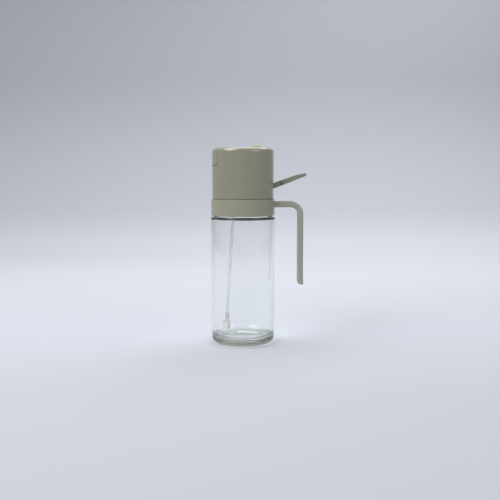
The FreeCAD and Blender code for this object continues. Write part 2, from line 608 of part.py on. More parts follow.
# ---------------------------------------------------------------- head and what it holds
def make_head():
    body = new_body("head")
    shell = outline(body, "shell_profile", "XZ_Plane", [
        (HEAD_BORE_R, SEAM), (HEAD_R, SEAM), (HEAD_R, HEAD_TOP), ("0", HEAD_TOP),
        ("0", HEAD_CEILING), (HEAD_BORE_R, HEAD_CEILING)])
    revolve(body, "shell", shell)
    dress(body, "Fillet", "top_edge", "dims.edge_round", lambda e: is_ring(e, HEAD_R, HEAD_TOP))
    dress(body, "Chamfer", "rim_edge", "dims.rim_chamfer", lambda e: is_ring(e, HEAD_R, SEAM))

    middle_r = f"({HEAD_R} - dims.head_wall / 2)"
    tray_back = f"({TRAY_BACK} + dims.tray_wall)"
    tray_front = f"-sqrt({middle_r} ^ 2 - {TRAY_OUTER} ^ 2)"
    tray = outline(body, "tray_profile", "XY_Plane", [
        (tray_front, f"-{TRAY_OUTER}", middle_r), (tray_front, TRAY_OUTER),
        (tray_back, TRAY_OUTER), (tray_back, f"-{TRAY_OUTER}")], f"{TRAY_TOP} - dims.tray_floor")
    extrude(body, "tray", tray, f"{HEAD_CEILING} - {TRAY_TOP} + dims.tray_floor")
    well = outline(body, "well_profile", "YZ_Plane", rectangle(
        f"-{TRAY_HALF}", TRAY_HALF, TRAY_TOP, f"{HEAD_TOP} + {CUT_OVER}"), TRAY_BACK)
    extrude(body, "well", well, FAR, cuts=True)
    dress(body, "Fillet", "well_corners", "dims.lid_corner + dims.lid_gap",
          lambda e: runs_along(e, "X") and passes(e, z=TRAY_TOP)
          and near(abs(e.BoundBox.Center.y), TRAY_HALF))

    dress(body, "Fillet", "well_edges", "dims.lid_edge_round",
          lambda e: runs_along(e, "X") and passes(e, z=HEAD_TOP))
    stop_r = f"({HEAD_R} - dims.lid_wall - dims.stop_gap)"
    half_stop = "dims.stop_width / 2"
    stop_back = f"-sqrt({stop_r} ^ 2 - ({half_stop}) ^ 2)"
    stop = outline(body, "stop_profile", "XY_Plane", [
        (stop_back, f"-{half_stop}", stop_r), (stop_back, half_stop)], TRAY_TOP)
    extrude(body, "stop", stop, "dims.stop_rise")

    ear_low = f"({SEAM} + dims.spigot_height + dims.ear_clear)"
    ear_back = f"sqrt({middle_r} ^ 2 - {EAR_OUT} ^ 2)"
    ear = outline(body, "ear_profile", "XZ_Plane", rectangle(
        f"{PIVOT_X} - dims.ear_nose", ear_back, ear_low, f"{ear_low} + dims.ear_height"), EAR_IN)
    ear_pad = extrude(body, "ear", ear, "dims.ear_wall")
    pair = body.newObject("PartDesign::Mirrored", "ears")
    pair.Originals = [ear_pad]
    pair.MirrorPlane = (origin_plane(body, "XZ_Plane"), [""])
    body.Tip = pair
    finish(body, cuts=False)

    lever_slot = outline(body, "lever_slot_profile", "YZ_Plane", rectangle(
        f"-{EAR_IN}", EAR_IN, SLOT_LOW, SLOT_TOP))
    extrude(body, "lever_slot", lever_slot, FAR, cuts=True, reverse=True)
    holes = (
        ("lever_pin_hole", "XZ_Plane", PIVOT_X, PIVOT_Z, "dims.lever_pin_width / 2", "0"),
        ("lid_pin_hole", "XZ_Plane", LID_AXIS_X, LID_AXIS_Z, "dims.lid_pin_width / 2", "0"),
        ("nozzle_hole", "YZ_Plane", "0", NOZZLE_Z, "dims.nozzle_width / 2 + dims.joint_gap",
         SPOUT_X),
        ("button_hole", "XY_Plane", BUTTON_X, "0", "dims.button_width / 2 + dims.button_gap",
         f"{HEAD_TOP} + {CUT_OVER}"),
        ("spout_hole", "XY_Plane", SPOUT_X, "0", "dims.spout_width / 2 + dims.spout_gap",
         f"{TRAY_TOP} + {CUT_OVER}"),
    )
    lengths = {"lever_pin_hole": f"2 * {EAR_OUT} + {CUT_OVER}",
               "lid_pin_hole": f"2 * {TRAY_OUTER} + {CUT_OVER}",
               "nozzle_hole": FAR,
               "button_hole": f"dims.top_thick + 2 * {CUT_OVER}",
               "spout_hole": f"dims.tray_floor + 2 * {CUT_OVER}"}
    for name, role, x, y, radius, offset in holes:
        hole = circles(body, f"{name}_profile", role, x, y, [radius], offset)
        extrude(body, name, hole, lengths[name], cuts=True, symmetric=role == "XZ_Plane")
    return body


def make_nozzle():
    """A spray insert, turned about its own axis and then laid along -X in the head's wall."""
    body = new_body("nozzle")
    face_r = "dims.nozzle_width / 2"
    back_r = f"({face_r} + dims.nozzle_lip)"
    seat = f"(sqrt({HEAD_BORE_R} ^ 2 - {back_r} ^ 2))"
    back = f"{seat} - dims.nozzle_flange"
    stem_r = f"{face_r} - dims.nozzle_lip"
    tip = f"{HEAD_R} - dims.nozzle_recess"
    insert = outline(body, "insert_profile", "XZ_Plane", [
        ("0", f"{back} - dims.nozzle_stem"), (stem_r, f"{back} - dims.nozzle_stem"),
        (stem_r, back), (back_r, back), (back_r, seat), (face_r, seat), (face_r, tip),
        ("dims.nozzle_dish + dims.orifice_width / 2", tip),
        ("dims.orifice_width / 2", f"{tip} - dims.nozzle_dish"),
        ("dims.orifice_width / 2", f"{tip} - 2 * dims.nozzle_dish"),
        ("0", f"{tip} - 2 * dims.nozzle_dish")])
    revolve(body, "insert", insert)
    place(body, z=NOZZLE_Z, axis=FreeCAD.Vector(0, 1, 0), angle="-90")
    return body


def make_button():
    body = new_body("button")
    cap_r = "dims.button_width / 2"
    flange_top = f"({HEAD_CEILING} - dims.button_gap)"
    button_top = f"{HEAD_TOP} + dims.button_rise"
    cap = outline(body, "cap_profile", "XZ_Plane", [
        ("0", f"{flange_top} - dims.button_flange"),
        (f"{cap_r} + dims.button_lip", f"{flange_top} - dims.button_flange"),
        (f"{cap_r} + dims.button_lip", flange_top), (cap_r, flange_top), (cap_r, button_top),
        ("0", button_top)])
    revolve(body, "cap", cap)
    dress(body, "Fillet", "cap_edge", "dims.button_round", lambda e: is_ring(e, cap_r, button_top))
    place(body, x=BUTTON_X)
    return body


def make_spout():
    """The pouring duct, from the closure up through the tray to a sloped mouth."""
    body = new_body("spout")
    outer_r, bore_r = "dims.spout_width / 2", "dims.spout_bore / 2"
    lip = f"({TRAY_TOP} + dims.spout_rise)"
    foot_top = f"{CLOSURE_TOP} + dims.spout_foot_thick"
    duct = outline(body, "duct_profile", "XZ_Plane", [
        (bore_r, CLOSURE_TOP), (f"{outer_r} + dims.spout_foot_lip", CLOSURE_TOP),
        (f"{outer_r} + dims.spout_foot_lip", foot_top), (outer_r, foot_top), (outer_r, lip),
        (bore_r, lip)])
    revolve(body, "duct", duct)
    fall = "dims.spout_width * tan(dims.spout_slope * 1 deg)"
    mouth = outline(body, "mouth_profile", "XZ_Plane", [
        (f"-{outer_r}", lip), (outer_r, f"{lip} - {fall}"), (outer_r, f"{lip} + {CUT_OVER}"),
        (f"-{outer_r}", f"{lip} + {CUT_OVER}")])
    extrude(body, "mouth", mouth, "dims.spout_width", cuts=True, symmetric=True)
    place(body, x=SPOUT_X)
    return body


def make_lid():
    """The strip of the head's top and front that lifts off the spout, with its hinge barrel."""
    body = new_body("lid")
    inner_r = f"({HEAD_R} - dims.lid_wall)"
    ceiling = f"({HEAD_TOP} - dims.lid_wall)"
    half_width = "dims.lid_width / 2"
    strip = outline(body, "strip_profile", "YZ_Plane",
                    rectangle(f"-{half_width}", half_width, LID_LOW, HEAD_TOP), LID_AXIS_X)
    extrude(body, "strip", strip, FAR, reverse=True)
    dress(body, "Fillet", "lower_corners", "dims.lid_corner",
          lambda e: runs_along(e, "X") and passes(e, z=LID_LOW))
    low = f"{LID_LOW} - {CUT_OVER}"
    beyond = outline(body, "outside_profile", "XZ_Plane", rectangle(
        HEAD_R, f"2 * {FAR}", low, f"{HEAD_TOP} + {CUT_OVER}"))
    revolve(body, "outside", beyond, cuts=True)
    inside = outline(body, "inside_profile", "XZ_Plane", rectangle("0", inner_r, low, ceiling))
    revolve(body, "inside", inside, cuts=True)
    dress(body, "Fillet", "top_edge", "dims.edge_round", lambda e: is_ring(e, HEAD_R, HEAD_TOP))
    dress(body, "Fillet", "inner_edge", "dims.lid_inner_round",
          lambda e: is_ring(e, inner_r, ceiling))
    dress(body, "Fillet", "outer_edges", "dims.lid_edge_round",
          lambda e: runs_along(e, "X") and passes(e, z=HEAD_TOP))
    barrel = circles(body, "barrel_profile", "XZ_Plane", LID_AXIS_X, LID_AXIS_Z,
                     ["dims.barrel_radius"])
    extrude(body, "barrel", barrel, "dims.lid_width", symmetric=True)
    bore = circles(body, "bore_profile", "XZ_Plane", LID_AXIS_X, LID_AXIS_Z,
                   ["dims.lid_pin_width / 2 + dims.pin_run"])
    extrude(body, "bore", bore, f"dims.lid_width + {CUT_OVER}", cuts=True, symmetric=True)
    return body


def make_lever():
    """A thumb lever with a narrow neck, built level about its pivot and then turned up."""
    body = new_body("lever")
    low = "-dims.lever_thick / 2"
    pad_start = "(dims.lever_reach - dims.lever_pad)"
    arm = outline(body, "arm_profile", "XZ_Plane", [
        ("0", low), ("dims.lever_reach", low), ("dims.lever_reach", f"{low} + dims.lever_tip_thick"),
        (pad_start, f"{low} + dims.lever_pad_thick"), ("0", "dims.lever_thick / 2")])
    extrude(body, "arm", arm, "dims.lever_width", symmetric=True)
    dress(body, "Fillet", "tip_corners", "dims.lever_corner",
          lambda e: runs_along(e, "Z") and near(e.BoundBox.XMin, "dims.lever_reach"))
    half_neck, half_width = "dims.neck_width / 2", "dims.lever_width / 2"
    waist = outline(body, "waist_profile", "XY_Plane", [
        ("0", half_neck), ("dims.neck_length", half_neck),
        ("dims.neck_length + dims.neck_spread", half_width),
        ("dims.neck_length + dims.neck_spread", f"{half_width} + {CUT_OVER}"),
        ("0", f"{half_width} + {CUT_OVER}")])
    waist_cut = extrude(body, "waist", waist, "2 * dims.lever_thick", cuts=True, symmetric=True)
    pair = body.newObject("PartDesign::Mirrored", "waists")
    pair.Originals = [waist_cut]
    pair.MirrorPlane = (origin_plane(body, "XZ_Plane"), [""])
    body.Tip = pair
    doc.recompute()
    dress(body, "Fillet", "waist_corners", "dims.neck_round",
          lambda e: e.BoundBox.XLength + e.BoundBox.YLength < NEAR
          and NEAR < e.BoundBox.XMin < number(pad_start))
    dress(body, "Fillet", "arm_edges", "dims.lever_round",
          lambda e: e.BoundBox.XMin > NEAR or e.BoundBox.XLength > number("dims.lever_barrel"))
    barrel = circles(body, "barrel_profile", "XZ_Plane", "0", "0", ["dims.lever_barrel"])
    extrude(body, "barrel", barrel, "dims.neck_width", symmetric=True)
    bore = circles(body, "bore_profile", "XZ_Plane", "0", "0",
                   ["dims.lever_pin_width / 2 + dims.pin_run"])
    extrude(body, "bore", bore, f"dims.neck_width + {CUT_OVER}", cuts=True, symmetric=True)
    place(body, x=PIVOT_X, z=PIVOT_Z, axis=FreeCAD.Vector(0, 1, 0),
          angle="-dims.lever_lean")
    return body


def make_pin(label, width, length, x, z):
    """A round pin along Y, centred on the bottle's plane of symmetry."""
    body = new_body(label)
    rod = circles(body, f"{label}_profile", "XZ_Plane", x, z, [f"{width} / 2"])
    extrude(body, f"{label}_rod", rod, length, symmetric=True)
    return body


# ---------------------------------------------------------------- build, check and write
def check(parts):
    """Stops if any object failed or any sub-part isn't one valid solid."""
    for thing in doc.Objects:
        if {"Invalid", "Error"} & set(thing.State):
            raise RuntimeError(f"{thing.Label} is {thing.State}")
    for part in parts:
        shape = part.Shape
        if shape.isNull() or not shape.isValid() or len(shape.Solids) != 1:
            raise RuntimeError(f"{part.Label} isn't one valid solid")


parts = [
    make_bottle(), make_collar(), make_handle(), make_closure(), make_dip_tube(),
    make_filter_sleeve(), make_filter_cup(), make_head(), make_nozzle(), make_button(),
    make_spout(), make_lid(), make_lever(),
    make_pin("lid_pin", "dims.lid_pin_width", f"2 * {TRAY_OUTER}", LID_AXIS_X, LID_AXIS_Z),
    make_pin("lever_pin", "dims.lever_pin_width", f"2 * {EAR_OUT}", PIVOT_X, PIVOT_Z),
]
doc.recompute()
check(parts)
os.makedirs("parts", exist_ok=True)
for part in parts:
    part.Shape.exportStep(f"parts/{part.Label}.step")
    print(f"{part.Label}: {part.Shape.Volume / 1000:.2f} cm3")
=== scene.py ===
import logging
import math
from dataclasses import dataclass, field
from enum import Enum
from typing import Any, Iterable, Optional, Union

import bmesh
import bpy
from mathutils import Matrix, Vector


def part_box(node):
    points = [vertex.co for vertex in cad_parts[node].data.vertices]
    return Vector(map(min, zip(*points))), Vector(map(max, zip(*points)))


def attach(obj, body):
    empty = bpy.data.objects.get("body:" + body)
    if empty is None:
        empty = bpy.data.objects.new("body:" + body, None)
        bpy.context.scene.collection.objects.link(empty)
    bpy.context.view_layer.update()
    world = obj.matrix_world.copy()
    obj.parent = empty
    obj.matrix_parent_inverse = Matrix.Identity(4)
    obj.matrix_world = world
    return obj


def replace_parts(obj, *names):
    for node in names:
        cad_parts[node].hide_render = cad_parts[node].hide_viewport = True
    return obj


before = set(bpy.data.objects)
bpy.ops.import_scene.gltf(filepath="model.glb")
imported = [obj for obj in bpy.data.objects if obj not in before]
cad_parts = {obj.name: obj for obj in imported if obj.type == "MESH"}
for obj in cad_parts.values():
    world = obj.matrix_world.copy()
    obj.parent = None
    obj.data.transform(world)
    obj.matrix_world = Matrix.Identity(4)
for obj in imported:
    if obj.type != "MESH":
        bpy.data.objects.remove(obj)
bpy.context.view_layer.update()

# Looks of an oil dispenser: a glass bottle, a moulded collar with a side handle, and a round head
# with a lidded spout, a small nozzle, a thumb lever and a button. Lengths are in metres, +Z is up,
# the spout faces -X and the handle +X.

log = logging.getLogger("oil_dispenser")

Colour = tuple[float, float, float]
Place = tuple[float, float, float]
Point = tuple[float, float]
Number = Union[int, float]

DISPENSER = "dispenser"


def srgb(red: int, green: int, blue: int) -> Colour:
    """Turns a colour written in 0 to 255 sRGB steps into linear values.

    Args:
        red: The red step.
        green: The green step.
        blue: The blue step.

    Returns:
        The three linear values.
    """
    def channel(step: int) -> float:
        """Turns one sRGB step linear."""
        share = step / 255
        return share / 12.92 if share <= 0.04045 else ((share + 0.055) / 1.055) ** 2.4

    return channel(red), channel(green), channel(blue)


def scaled(colour: Colour, factor: float) -> Colour:
    """Makes a colour lighter or darker, and never brighter than white."""
    return tuple(min(1.0, value * factor) for value in colour)


# ---------------------------------------------------------------- shader graphs
class Signal:
    """A shader socket that takes part in Python arithmetic."""

    def __init__(self, graph: "Graph", socket: bpy.types.NodeSocket) -> None:
        """Wraps an output socket of a graph."""
        self.graph = graph
        self.socket = socket

    def _math(self, operation: str, *values: Any) -> "Signal":
        """Adds one Math node.

        Args:
            operation: The node's operation.
            *values: Numbers or signals, in the order of its inputs.

        Returns:
            The node's result.
        """
        inputs = dict(enumerate(values))
        return self.graph.node("ShaderNodeMath", {"operation": operation}, inputs).out()

    def __add__(self, other: Any) -> "Signal":
        """Adds a number or a signal."""
        return self._math("ADD", self, other)

    __radd__ = __add__

    def __sub__(self, other: Any) -> "Signal":
        """Takes a number or a signal away."""
        return self._math("SUBTRACT", self, other)

    def __rsub__(self, other: Any) -> "Signal":
        """Takes this away from a number."""
        return self._math("SUBTRACT", other, self)

    def __mul__(self, other: Any) -> "Signal":
        """Multiplies by a number or a signal."""
        return self._math("MULTIPLY", self, other)

    __rmul__ = __mul__

    def __pow__(self, exponent: Number) -> "Signal":
        """Raises to a power."""
        return self._math("POWER", self, exponent)

    def above(self, edge: Number, soft: Number) -> "Signal":
        """Makes a smooth step.

        Args:
            edge: The value at the middle of the step.
            soft: Half of the step's width.

        Returns:
            0 below the step and 1 above it.
        """
        return self.graph.node("ShaderNodeMapRange", {"interpolation_type": "SMOOTHSTEP"}, {
            "Value": self, "From Min": edge - soft, "From Max": edge + soft}).out()


class Made:
    """A shader node that has been added, with its outputs by name or number."""

    def __init__(self, graph: "Graph", node: bpy.types.Node) -> None:
        """Keeps the node and its graph."""
        self.graph = graph
        self.node = node

    def out(self, name: Union[str, int] = 0) -> Signal:
        """Gives one output as a signal."""
        return Signal(self.graph, self.node.outputs[name])


class Graph:
    """The node graph of one material."""

    def __init__(self, name: str) -> None:
        """Starts an empty material.

        Args:
            name: The material's name.
        """
        self.material = bpy.data.materials.new(name)
        self.material.use_nodes = True
        self.tree = self.material.node_tree
        self.tree.nodes.clear()

    def node(self, kind: str, settings: Optional[dict[str, Any]] = None,
             inputs: Optional[dict[Union[str, int], Any]] = None) -> Made:
        """Adds a node.

        Args:
            kind: The node's type.
            settings: Its properties, set first. "stops" is a ramp's list of place and colour.
            inputs: Values or signals for its sockets, by name or number.

        Returns:
            The node.
        """
        node = self.tree.nodes.new(kind)
        for name, value in (settings or {}).items():
            if name == "stops":
                self._set_stops(node.color_ramp, value)
            else:
                setattr(node, name, value)
        for name, value in (inputs or {}).items():
            socket = node.inputs[name]
            if isinstance(value, Signal):
                self.tree.links.new(value.socket, socket)
                continue
            default = socket.default_value
            if hasattr(default, "__len__") and len(value) < len(default):
                value = (*value, 1.0)
            socket.default_value = value
        return Made(self, node)

    @staticmethod
    def _set_stops(ramp: bpy.types.ColorRamp, stops: Iterable[tuple[float, Colour]]) -> None:
        """Gives a colour ramp its stops.

        Args:
            ramp: The ramp.
            stops: Place and colour of each, in order.
        """
        stops = list(stops)
        while len(ramp.elements) < len(stops):
            ramp.elements.new(1.0)
        for element, (place, colour) in zip(ramp.elements, stops):
            element.position = place
            element.color = (*colour, 1.0)

    def place(self) -> Signal:
        """Gives the point on the piece, in its own metres."""
        return self.node("ShaderNodeTexCoord").out("Object")

    def stretched(self, scale: Place) -> Signal:
        """Gives the point on the piece, scaled along each axis."""
        return self.node("ShaderNodeMapping", {"vector_type": "POINT"}, {
            "Vector": self.place(), "Scale": scale}).out()

    def apart(self) -> tuple[Signal, Signal, Signal]:
        """Gives the three coordinates of the point on the piece."""
        parts = self.node("ShaderNodeSeparateXYZ", None, {0: self.place()})
        return parts.out("X"), parts.out("Y"), parts.out("Z")

    def noise(self, size: float, detail: float, point: Optional[Signal] = None) -> Signal:
        """Adds a cloudy pattern.

        Args:
            size: Width of its patches in metres.
            detail: How many finer layers it has.
            point: Where it is read, the piece's own place if left out.

        Returns:
            A value of about 0.3 to 0.7.
        """
        return self.node("ShaderNodeTexNoise", {"noise_dimensions": "3D"}, {
            "Vector": point or self.place(), "Scale": 1 / size, "Detail": detail}).out()

    def mix(self, share: Union[Signal, float], first: Any, second: Any) -> Signal:
        """Mixes two colours.

        Args:
            share: How much of the second.
            first: A colour or a signal.
            second: A colour or a signal.

        Returns:
            The mixed colour.
        """
        colour_a, colour_b, colour_out = 6, 7, 2
        return self.node("ShaderNodeMix", {"data_type": "RGBA"}, {
            "Factor": share, colour_a: first, colour_b: second}).out(colour_out)

    def bump(self, height: Signal, depth: float, strength: float = 1.0) -> Signal:
        """Turns a height into a normal.

        Args:
            height: The height, 0 to 1.
            depth: Its full depth in metres.
            strength: How much of it shows, 0 to 1.

        Returns:
            The bumped normal.
        """
        return self.node("ShaderNodeBump", None, {
            "Height": height, "Distance": depth, "Strength": strength}).out()

    def lit_through(self, shader: Signal, tint: Colour, plain: Union[Signal, float],
                    lit: Union[Signal, float] = 1.0) -> Signal:
        """Lets lamps shine through a clear shader, instead of throwing a full shadow.

        Args:
            shader: The shader that everything else meets.
            tint: What is left of the light that passes one surface.
            plain: The share that is seen without any bending, as through a thin film.
            lit: The share of each lamp's light that passes.

        Returns:
            The mixed shader.
        """
        shadow = self.node("ShaderNodeLightPath").out("Is Shadow Ray")
        share = shadow * (lit - plain) + plain
        gap = self.node("ShaderNodeBsdfTransparent", None, {"Color": tint}).out()
        return self.node("ShaderNodeMixShader", None, {"Fac": share, 1: shader, 2: gap}).out()

    def surface(self, shader: Signal, inside: Optional[Signal] = None) -> bpy.types.Material:
        """Ends the graph.

        Args:
            shader: The shader that the surface takes.
            inside: The shader of the solid behind it, if light enters it.

        Returns:
            The finished material.
        """
        ends = {"Surface": shader}
        if inside:
            ends["Volume"] = inside
        self.node("ShaderNodeOutputMaterial", None, ends)
        return self.material


# ---------------------------------------------------------------- finishes
class Skin(Enum):
    """How smooth a moulded surface is: its roughness and the depth of its ripple in metres."""

    GLOSSY = (0.16, 0.000012)
    SATIN = (0.34, 0.000020)


@dataclass(frozen=True)
class Moulding:
    """Injection moulded plastic: an even colour with a faint flow pattern, ripple and dust."""

    name: str
    colour: Colour
    skin: Skin = Skin.GLOSSY
    coat: float = 0.25
    coat_roughness: float = 0.06
    coat_ior: float = 1.5
    ior: float = 1.49
    patch: float = 0.018
    patch_stretch: Place = (1.0, 1.0, 0.45)
    mottle: float = 0.05
    ripple: float = 0.0035
    speck: float = 0.00035
    speck_share: float = 0.06
    dust_edge: float = 0.74
    dust_soft: float = 0.03
    dust_tint: float = 0.35
    dust_roughness: float = 0.2
    handling: float = 0.011
    handling_roughness: float = 0.12

    def build(self) -> bpy.types.Material:
        """Makes the material.

        Returns:
            The material.
        """
        graph = Graph(self.name)
        roughness, depth = self.skin.value
        flow = graph.noise(self.patch, detail=3.0, point=graph.stretched(self.patch_stretch))
        pale = scaled(self.colour, 1 + self.mottle)
        deep = scaled(self.colour, 1 - self.mottle)
        dust = graph.noise(self.speck, detail=1.0).above(self.dust_edge, self.dust_soft)
        handling = graph.noise(self.handling, detail=4.0) * self.handling_roughness
        smooth = roughness - self.handling_roughness / 2
        specks = graph.noise(self.speck, detail=0.0) * self.speck_share
        ripple = graph.noise(self.ripple, detail=2.0) + specks
        shader = graph.node("ShaderNodeBsdfPrincipled", None, {
            "Base Color": graph.mix(dust * self.dust_tint, graph.mix(flow, deep, pale), pale),
            "Roughness": handling + smooth + dust * self.dust_roughness,
            "Normal": graph.bump(ripple, depth),
            "IOR": self.ior, "Coat Weight": self.coat,
            "Coat Roughness": self.coat_roughness, "Coat IOR": self.coat_ior})
        return graph.surface(shader.out())


@dataclass(frozen=True)
class ClearGlass:
    """Pressed soda-lime glass with slight waves and smears, and a green cast in the glass of its
    foot.

    The foot's colour is that green cast darkened with painted shade, and the foot passes a little
    light without bending it. The heel, the outer wall below heel_height, is darkened much more
    with painted shade for the shaded floor seen through it, and the wall below shade_height throws
    part of a shadow.
    """

    name: str
    tint: Colour = (0.985, 0.99, 0.987)
    # The foot's colour is the glass's green cast darkened with painted shade; the heel's much
    # darker colour is painted shade for the shaded floor seen through it.
    foot_tint_and_shade: Colour = (0.92, 0.93, 0.90)
    foot_height: float = 0.0095
    foot_blend: float = 0.0025
    foot_plain: float = 0.14
    foot_shade: float = 0.75
    shade_height: float = 0.012
    heel_painted_shade: Colour = (0.41, 0.46, 0.37)
    heel_height: float = 0.0055
    heel_blend: float = 0.0015
    heel_radius: float = 0.0325
    lit_tint: Colour = (0.955, 0.96, 0.955)
    body: Colour = (0.78, 0.82, 0.74)
    density: float = 8.0
    ior: float = 1.5
    wave: float = 0.03
    wave_stretch: Place = (1.0, 1.0, 0.35)
    wave_depth: float = 0.00002
    smear: float = 0.02
    smear_edge: float = 0.6
    smear_soft: float = 0.12
    smear_share: float = 0.5
    smear_shade: float = 0.99
    smear_roughness: float = 0.012

    def build(self) -> bpy.types.Material:
        """Makes the material.

        Returns:
            The material.
        """
        graph = Graph(self.name)
        waves = graph.noise(self.wave, detail=1.0, point=graph.stretched(self.wave_stretch))
        smear = graph.noise(self.smear, detail=4.0).above(self.smear_edge, self.smear_soft)
        across, aside, height = graph.apart()
        outer = ((across * across + aside * aside) ** 0.5).above(
            self.heel_radius, self.heel_blend)
        foot = 1.0 - height.above(self.foot_height, self.foot_blend)
        heel = (1.0 - height.above(self.heel_height, self.heel_blend)) * outer
        shade = (1.0 - height.above(self.shade_height, self.foot_blend)) * outer
        clear = graph.mix(smear * self.smear_share, self.tint,
                          scaled(self.tint, self.smear_shade))
        # Painted shade: the foot and the heel are darkened to stand in for the shaded floor seen
        # through the base.
        shaded_foot_colour = graph.mix(heel, self.foot_tint_and_shade, self.heel_painted_shade)
        shader = graph.node("ShaderNodeBsdfPrincipled", None, {
            "Base Color": graph.mix(foot, clear, shaded_foot_colour),
            "Roughness": smear * self.smear_roughness,
            "Normal": graph.bump(waves, self.wave_depth),
            "IOR": self.ior, "Transmission Weight": 1.0})
        inside = graph.node("ShaderNodeVolumeAbsorption", None, {
            "Color": self.body, "Density": self.density})
        solid = graph.lit_through(shader.out(), self.lit_tint,
                                  plain=(foot - heel) * self.foot_plain,
                                  lit=1.0 - shade * self.foot_shade)
        return graph.surface(solid, inside.out())


@dataclass(frozen=True)
class Milky:
    """Unpigmented plastic that lets light through but blurs it."""

    name: str
    colour: Colour
    clear: float = 0.55
    smooth: float = 0.21
    plain: float = 0.6
    lit_tint: Colour = (0.97, 0.97, 0.965)
    ior: float = 1.45
    cloud: float = 0.006
    cloud_stretch: Place = (1.0, 1.0, 0.3)
    cloud_shade: float = 0.93
    cloud_roughness: float = 0.15
    grain: float = 0.0006
    grain_depth: float = 0.00002
    grain_strength: float = 0.6

    def build(self) -> bpy.types.Material:
        """Makes the material.

        Returns:
            The material.
        """
        graph = Graph(self.name)
        cloud = graph.noise(self.cloud, detail=3.0, point=graph.stretched(self.cloud_stretch))
        grain = graph.noise(self.grain, detail=1.0)
        shader = graph.node("ShaderNodeBsdfPrincipled", None, {
            "Base Color": graph.mix(cloud, scaled(self.colour, self.cloud_shade), self.colour),
            "Roughness": cloud * self.cloud_roughness + self.smooth,
            "Normal": graph.bump(grain, self.grain_depth, self.grain_strength),
            "IOR": self.ior, "Transmission Weight": self.clear})
        return graph.surface(graph.lit_through(shader.out(), self.lit_tint, self.plain))


@dataclass(frozen=True)
class DrawnSteel:
    """Steel wire, with drawing lines along its length."""

    name: str
    colour: Colour = (0.56, 0.55, 0.53)
    smooth: float = 0.2
    line: float = 0.0004
    line_stretch: Place = (1.0, 0.04, 1.0)
    line_shade: float = 0.85
    line_roughness: float = 0.2
    line_depth: float = 0.00001
    line_strength: float = 0.7

    def build(self) -> bpy.types.Material:
        """Makes the material.

        Returns:
            The material.
        """
        graph = Graph(self.name)
        lines = graph.noise(self.line, detail=2.0, point=graph.stretched(self.line_stretch))
        shader = graph.node("ShaderNodeBsdfPrincipled", None, {
            "Base Color": graph.mix(lines, scaled(self.colour, self.line_shade), self.colour),
            "Roughness": lines * self.line_roughness + self.smooth,
            "Normal": graph.bump(lines, self.line_depth, self.line_strength),
            "Metallic": 1.0})
        return graph.surface(shader.out())


Finish = Union[Moulding, ClearGlass, Milky, DrawnSteel]

SHELL = Moulding("shell_greige", srgb(141, 140, 123), coat=0.6)
RING = Moulding("collar_greige", srgb(150, 150, 133))
GRIP = Moulding("handle_greige", srgb(156, 157, 146))
LEVER = Moulding("lever_greige", srgb(129, 129, 116), Skin.SATIN, coat=0.1)
INSERT = Moulding("nozzle_greige", srgb(116, 116, 103), Skin.SATIN, coat=0.0)
INNER = Moulding("inner_grey", srgb(170, 170, 160), Skin.SATIN, coat=0.0)
YELLOW = Moulding("button_yellow", srgb(176, 172, 92), patch=0.004)
# Painted shade: a near-black colour for the strip that darkens the slit under the lid.
SLIT_SHADE = Moulding("slit_painted_shade", srgb(66, 58, 56), Skin.SATIN, coat=0.0)
GLASS = ClearGlass("bottle_glass")
TUBE = Milky("tube_plastic", (0.95, 0.955, 0.96), clear=0.92, smooth=0.07)
STRAINER = Milky("strainer_plastic", (0.84, 0.845, 0.84), clear=0.75)
STEEL = DrawnSteel("pin_steel")


# ---------------------------------------------------------------- turned and swept shapes
ROUND_STEPS = 8
GUARD_SHARE = 0.06
SWEEP_MERGE = 1e-6
DOUBLES = 1e-7


@dataclass(frozen=True)
class Corner:
    """A corner of a turned outline: distance from the axis, height, and radius of its round."""

    radius: float
    height: float
    round: float = 0.0


def rounded(corners: list[Corner]) -> list[Point]:
    """Rounds the corners of a closed outline.

    Each round gets one more point on both sides, just before and after it, so that the shading
    of the straight stretches stays flat.

    Args:
        corners: The outline's corners in order.

    Returns:
        The outline's points.
    """
    points: list[Point] = []
    for i, corner in enumerate(corners):
        here = Vector((corner.radius, corner.height))
        if not corner.round:
            points.append(tuple(here))
            continue
        before = corners[i - 1]
        after = corners[(i + 1) % len(corners)]
        back = (Vector((before.radius, before.height)) - here).normalized()
        on = (Vector((after.radius, after.height)) - here).normalized()
        half = back.angle(on) / 2
        reach = corner.round / math.tan(half)
        centre = here + (back + on).normalized() * corner.round / math.sin(half)
        start, end = here + back * reach, here + on * reach
        guard = GUARD_SHARE * corner.round
        points.append(tuple(start + back * guard))
        for step in range(ROUND_STEPS + 1):
            along = (start - centre).slerp(end - centre, step / ROUND_STEPS)
            points.append(tuple(centre + along.normalized() * corner.round))
        points.append(tuple(end + on * guard))
    return points


